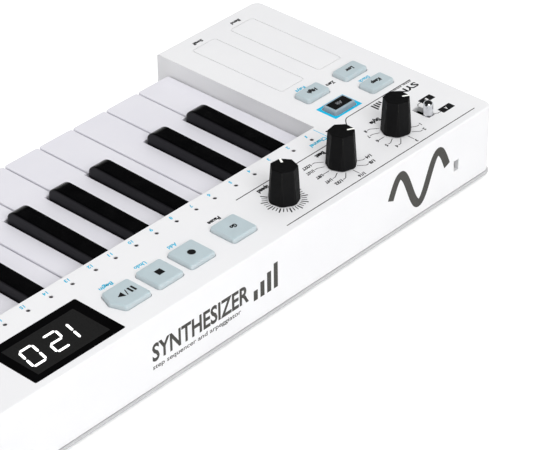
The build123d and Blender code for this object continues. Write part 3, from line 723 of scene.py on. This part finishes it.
def print_buttons(inks):
    """Words and transport icons on the button tops."""
    black = inks["black"]
    for node, text, half in (("hold", "Keep", 3.1), ("octave_down", "Low", 2.6),
                             ("octave_up", "High", 2.9), ("tap", "Go", 1.8)):
        button_print(f"{node}_print", f"{node}_button", black,
                     lambda relief: relief.word(text, -half, half, 0.0, 2.1, 0.18, 0.06))
    button_print("record_print", "record_button", black, lambda relief: relief.disc(0.0, 0.0, 1.9))
    square = rounded(-1.75, 1.75, -1.75, 1.75, 0.1)
    button_print("stop_print", "stop_button", black, lambda relief: relief.polygon(square))
    button_print("play_print", "play_button", black, play_icon)
    tab = Relief(-INK_ROOT, 0.06)
    tab.polygon(rounded(-5.9, 5.9, -3.1, 3.1, 0.3))
    centre = middle("shift_button")
    place = upright(centre.x, centre.y, high_corner("shift_button").z)
    tab.finish("shift_tab", "shift_button", inks["tab"], "button_rubber", place)
    word = Relief(0.05, 0.09)
    word.word("Alt", -2.0, 2.0, 0.0, 2.1, 0.18, 0.03)
    word.finish("shift_print", "shift_button", inks["grey"], "button_rubber", place)


def knob_pointers(inks):
    """White line set into the slot in each knob's top."""
    angles = {"mode_knob": 150, "division_knob": 150, "rate_knob": 240}
    for node in [name for name in frame["nodes"] if "_knob" in name]:
        line = Relief(-0.49, -0.01)
        inner_end = [(2.95, 0.53), (2.68, 0.3), (2.62, 0.0), (2.68, -0.3), (2.95, -0.53)]
        line.polygon([(5.98, 0.53), *inner_end, (5.98, -0.53)])
        centre = middle(node)
        place = upright(centre.x, centre.y, high_corner(node).z, angles.get(node, 90))
        line.finish(f"{node}_pointer", node, inks["pointer"], "knob_black", place)


def panel_lights(material):
    """Domed light pipes that fill the small holes above the keys."""
    form = bmesh.new()
    dome = [(0.92, -0.3), (0.78, -0.2), (0.5, -0.13), (0.2, -0.1), (0.0, -0.09)]
    profile = [(0.0, -0.75), (0.92, -0.75), *dome]
    for x in light_places():
        lathe(form, profile, Matrix.Translation((x, LIGHT_ROW, PANEL)), 16)
    solid_piece(form, "step_lights", CASE, material)


SEGMENTS = {"0": "abcdef", "1": "bc", "2": "abged", "3": "abgcd"}
DIGIT_COLUMN = 3.5
DIGIT_ROW = 5.65
DIGIT_PITCH = 13.0
SEGMENT_HALF = 0.62
SEGMENT_GAP = 0.25
DIGIT_SLANT = 0.2


def segment(relief, start, end, origin):
    """One pointed bar of a seven-segment digit, leaning with the digit."""
    along = (end - start).normalized()
    across = Vector((-along.y, along.x)) * SEGMENT_HALF
    start = start + along * SEGMENT_GAP
    end = end - along * SEGMENT_GAP
    shoulder = along * SEGMENT_HALF
    outline = [start, start + shoulder - across, end - shoulder - across, end, end - shoulder + across,
               start + shoulder + across]
    relief.polygon([(origin + p.x + p.y * DIGIT_SLANT, p.y) for p in outline])


def display(inks):
    """Display area behind the window with its slanted digits."""
    centre = middle("display_window")
    top = high_corner("display_window").z
    area = Relief(-INK_ROOT, 0.02)
    area.polygon(rounded(-19.5, 20.3, -10.3, 11.4, 0.3))
    area.finish("display_area", CASE, inks["screen"], "window_black", upright(centre.x, centre.y, top))
    left, right = -DIGIT_COLUMN, DIGIT_COLUMN
    ends = {
        "a": ((left, DIGIT_ROW), (right, DIGIT_ROW)), "b": ((right, 0), (right, DIGIT_ROW)),
        "c": ((right, -DIGIT_ROW), (right, 0)), "d": ((left, -DIGIT_ROW), (right, -DIGIT_ROW)),
        "e": ((left, -DIGIT_ROW), (left, 0)), "f": ((left, 0), (left, DIGIT_ROW)),
        "g": ((left, 0), (right, 0)),
    }
    digits = Relief(0.01, 0.05)
    for place, digit in enumerate("120"):
        for name in SEGMENTS[digit]:
            start, end = (Vector(end) for end in ends[name])
            segment(digits, start, end, (place - 1) * DIGIT_PITCH)
    place = upright(centre.x + 0.4, centre.y + 0.75, top)
    digits.finish("display_digits", CASE, inks["lit"], "window_black", place)


# ---------------------------------------------------------------- back wall

JACK_ROW = 18.0
MINI_JACKS = {"OUT 1": 62.0, "OUT 2": 76.0, "OUT 3": 90.0, "IN 1": 106.0, "OUT 4": 120.0}
LARGE_JACK = 42.0
DIN_JACKS = {"IN 2": 150.0, "OUT 5": 174.0}
SQUARE_JACKS = {"DATA": 198.0, "ON / OFF": 218.0, "POWER": 240.0}


def wave_mark(ink, left, centre_z, width, swing, stroke):
    """A plain sine wave of one and a half periods, the sign for an oscillator."""
    steps = 60
    points = []
    for step in range(steps + 1):
        t = step / steps
        points.append((left + width * t, centre_z + swing * math.sin(3 * math.pi * t)))
    ink.line(points, stroke)


def print_back(inks):
    """Generic marks and connector names on the back wall, read from behind."""
    ink = Relief()
    wave_mark(ink, -KEYS_LEFT - 3.0, PANEL - 17.7, 40.0, 10.5, 4.2)
    right = -(KEYS_LEFT + 96.6)
    ink.word("SYNTHESIZER", right - 58.3, right, PANEL - 17.4, 8.4, 0.0, 0.025)
    ink.word("step sequencer and arpeggiator", right - 58.3, right - 5.0, PANEL - 24.6, 2.2, 0.0)
    steps_pictogram(ink, right + 2.2, PANEL - 23.9, 17.0, 13.0)
    names = {"PEDAL": LARGE_JACK, **MINI_JACKS, **DIN_JACKS, **SQUARE_JACKS}
    for name, x in names.items():
        half = 0.78 * len(name)
        ink.word(name, -x - half, -x + half, PANEL - 6.2, 1.8, 0.0)
    ink.finish("back_print_dark", CASE, inks["back"], "case_white", on_back(y=BACK))


def jack_rings(material):
    """Turned metal collars round the mini and pedal sockets."""
    form = bmesh.new()
    for x in MINI_JACKS.values():
        profile = [(1.82, -2.4), (3.6, -2.4), (3.6, -0.1), (3.3, 0.12), (2.2, 0.12), (1.82, -0.1)]
        lathe(form, profile, on_back(x, BACK, JACK_ROW))
    profile = [(3.24, -2.4), (5.6, -2.4), (5.6, -0.1), (5.2, 0.2), (3.7, 0.2), (3.24, -0.15)]
    lathe(form, profile, on_back(LARGE_JACK, BACK, JACK_ROW), 40)
    solid_piece(form, "jack_collars", CASE, material)


def rocker(material):
    """Power rocker in its opening, tipped to one side."""
    form = bmesh.new()
    x = SQUARE_JACKS["ON / OFF"]
    profile = [(-5.6, -2.6), (5.6, -2.6), (5.6, -0.9), (3.0, -0.95), (0.0, -0.8), (-3.0, -0.2), (-5.6, 0.35)]
    rings = []
    for side in (-3.1, 3.1):
        rings.append([form.verts.new((x + along, BACK + out, JACK_ROW + side)) for along, out in profile])
    form.faces.new(rings[0])
    form.faces.new(rings[1][::-1])
    for index in range(len(profile)):
        after = (index + 1) % len(profile)
        form.faces.new((rings[0][index], rings[1][index], rings[1][after], rings[0][after]))
    bmesh.ops.bevel(form, geom=form.edges, offset=0.25, segments=2, affect="EDGES")
    solid_piece(form, "power_rocker", CASE, material)


# ---------------------------------------------------------------- stage

CAMERA_PLACE = (0.5220, 0.6698, 0.6420)
CAMERA_AZIMUTH = 132.52
CAMERA_ELEVATION = 34.05
CAMERA_ROLL = -0.6
CAMERA_LENS = 164.73
ROOM_STRENGTH = 0.68
KEY_POWER = 26.0
FILL_POWER = 3.4
TOP_POWER = 8.0


def make_camera():
    """Camera behind the player's right, looking down on the control panel."""
    azimuth, elevation = math.radians(CAMERA_AZIMUTH), math.radians(CAMERA_ELEVATION)
    back = Vector((math.sin(azimuth) * math.cos(elevation), -math.cos(azimuth) * math.cos(elevation),
                   math.sin(elevation)))
    data = bpy.data.cameras.new("camera")
    data.lens = CAMERA_LENS
    data.sensor_width = 36.0
    camera = bpy.data.objects.new("camera", data)
    camera.rotation_mode = "QUATERNION"
    level = (-back).to_track_quat("-Z", "Y").to_matrix().to_4x4()
    camera.matrix_world = Matrix.Translation(CAMERA_PLACE) @ level @ Matrix.Rotation(
        math.radians(CAMERA_ROLL), 4, "Z")
    bpy.context.scene.collection.objects.link(camera)
    bpy.context.scene.camera = camera


def area_light(name, place, target, size, power):
    """A soft square light aimed at a point."""
    data = bpy.data.lights.new(name, "AREA")
    data.shape = "SQUARE"
    data.size = size
    data.energy = power
    light = bpy.data.objects.new(name, data)
    light.location = place
    light.rotation_mode = "QUATERNION"
    light.rotation_quaternion = (Vector(target) - Vector(place)).to_track_quat("-Z", "Y")
    bpy.context.scene.collection.objects.link(light)
    return light


def make_floor():
    """Large pale floor."""
    look = Look("studio_floor", Specular_IOR_Level=0.1)
    cloud = look.span(look.noise(300.0), 0.0, 1.0)
    look.colour(look.mix(cloud, linear(252, 252, 252), linear(249, 249, 249)))
    look.roughen(0.7, 0.8, 200.0)
    seen = look.node("ShaderNodeLightPath").outputs["Is Camera Ray"]
    look.surface.inputs["Emission Color"].default_value = (1.0, 1.0, 1.0, 1.0)
    look.wire(look.span(seen, 0.0, 0.28, 0.0, 1.0), look.surface.inputs["Emission Strength"])
    form = bmesh.new()
    bmesh.ops.create_grid(form, x_segments=2, y_segments=2, size=6.0)
    mesh = bpy.data.meshes.new("floor")
    form.to_mesh(mesh)
    form.free()
    mesh.materials.append(look.material)
    floor = bpy.data.objects.new("floor", mesh)
    floor.location.z = -0.0002
    bpy.context.scene.collection.objects.link(floor)


def make_world():
    """White room for soft light; in reflections it darkens towards the ceiling."""
    world = bpy.data.worlds.new("studio")
    world.use_nodes = True
    tree = world.node_tree
    room = tree.nodes["Background"]
    room.inputs["Color"].default_value = (1.0, 1.0, 1.0, 1.0)
    room.inputs["Strength"].default_value = ROOM_STRENGTH
    direction = tree.nodes.new("ShaderNodeTexCoord")
    parts = tree.nodes.new("ShaderNodeSeparateXYZ")
    fade = tree.nodes.new("ShaderNodeMapRange")
    mirrored = tree.nodes.new("ShaderNodeBackground")
    ray = tree.nodes.new("ShaderNodeLightPath")
    choose = tree.nodes.new("ShaderNodeMixShader")
    tree.links.new(direction.outputs["Generated"], parts.inputs[0])
    tree.links.new(parts.outputs["Z"], fade.inputs["Value"])
    for name, value in (("From Min", 0.1), ("From Max", 0.45), ("To Min", 0.9), ("To Max", 0.03)):
        fade.inputs[name].default_value = value
    tree.links.new(fade.outputs["Result"], mirrored.inputs["Strength"])
    tree.links.new(ray.outputs["Is Glossy Ray"], choose.inputs[0])
    tree.links.new(room.outputs[0], choose.inputs[1])
    tree.links.new(mirrored.outputs[0], choose.inputs[2])
    tree.links.new(choose.outputs[0], tree.nodes["World Output"].inputs["Surface"])
    bpy.context.scene.world = world


def make_light():
    """A broad key light from behind the case and a weak fill over the keys."""
    make_world()
    area_light("key_light", (0.5, 1.7, 1.5), (-0.1, 0.0, 0.0), 1.2, KEY_POWER)
    fill = area_light("fill_light", (-1.4, -0.6, 1.6), (0.0, 0.0, 0.0), 1.4, FILL_POWER)
    top = area_light("top_light", (0.0, 0.2, 2.2), (0.0, 0.0, 0.0), 1.2, TOP_POWER)
    for light in (fill, top):
        light.visible_glossy = False
    bpy.context.scene.view_settings.view_transform = "Standard"


def main():
    """Dress the frame, add the details and set the stage."""
    materials = slot_materials()
    dress_nodes(materials)
    inks = {
        "black": printed("ink_black", linear(20, 20, 22)),
        "tab": printed("ink_tab", linear(12, 12, 13)),
        "back": printed("ink_dark_grey", linear(66, 65, 62)),
        "blue": printed("ink_blue", linear(44, 178, 212)),
        "cyan": printed("ink_cyan", linear(0, 174, 214)),
        "white": printed("ink_white", linear(240, 240, 240)),
        "grey": printed("ink_grey", linear(120, 122, 126)),
        "pointer": printed("pointer_white", linear(238, 240, 232)),
        "screen": printed("display_grey", linear(25, 25, 25)),
        "lit": printed("display_lit", linear(255, 255, 255), 0.9),
    }
    print_panel(inks)
    print_buttons(inks)
    knob_pointers(inks)
    panel_lights(lens_plastic())
    display(inks)
    print_back(inks)
    jack_rings(materials["lever_chrome"])
    rocker(materials["jack_black"])
    make_floor()
    make_light()
    make_camera()


main()
